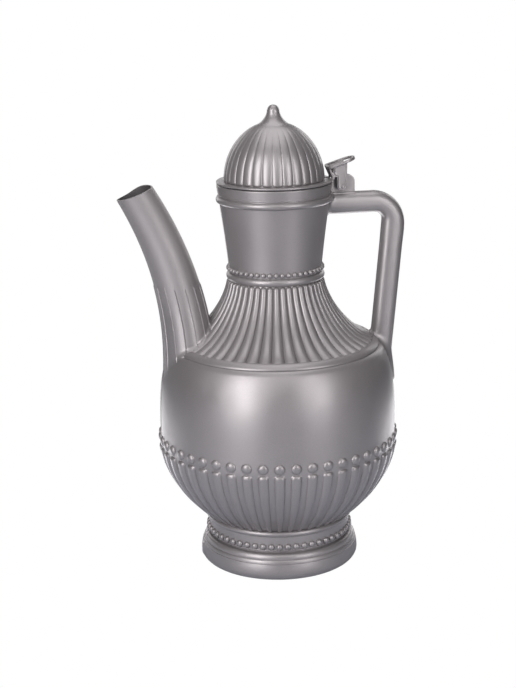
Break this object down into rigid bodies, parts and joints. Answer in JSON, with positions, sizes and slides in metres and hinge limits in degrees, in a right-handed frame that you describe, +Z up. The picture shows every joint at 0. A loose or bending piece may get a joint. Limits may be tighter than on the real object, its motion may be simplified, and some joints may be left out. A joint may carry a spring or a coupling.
{
  "type": "ewer jug with a hinged lid",
  "caption": "Plastic ewer jug with a round belly, bent spout, loop handle and a hinged dome lid with a thumb lever, for pouring water.",
  "frame": {"origin": "centre of the flat underside of the foot, on the jug's axis", "axes": "+Z up along the jug's axis, +X from the axis towards the handle, so the spout points along -X, and +Y across"},
  "size_m": [0.2091, 0.179, 0.3395],
  "materials": {
    "body_plastic": "satin silver-grey moulded plastic",
    "lid_plastic": "satin silver-grey moulded plastic"
  },
  "bodies": {
    "jug": {"body_shell": "body_plastic", "spout": "body_plastic", "handle": "body_plastic", "hinge_lug": "body_plastic", "hinge_pin": "lid_plastic"},
    "lid": {"lid": "lid_plastic", "thumb_lever": "lid_plastic"}
  },
  "joints": [
    {"name": "lid_hinge", "type": "hinge", "parent": "jug", "child": "lid", "pos_m": [0.0492, 0, 0.2796], "axis": [0, 1, 0], "range_deg": [0, 72]}
  ]
}
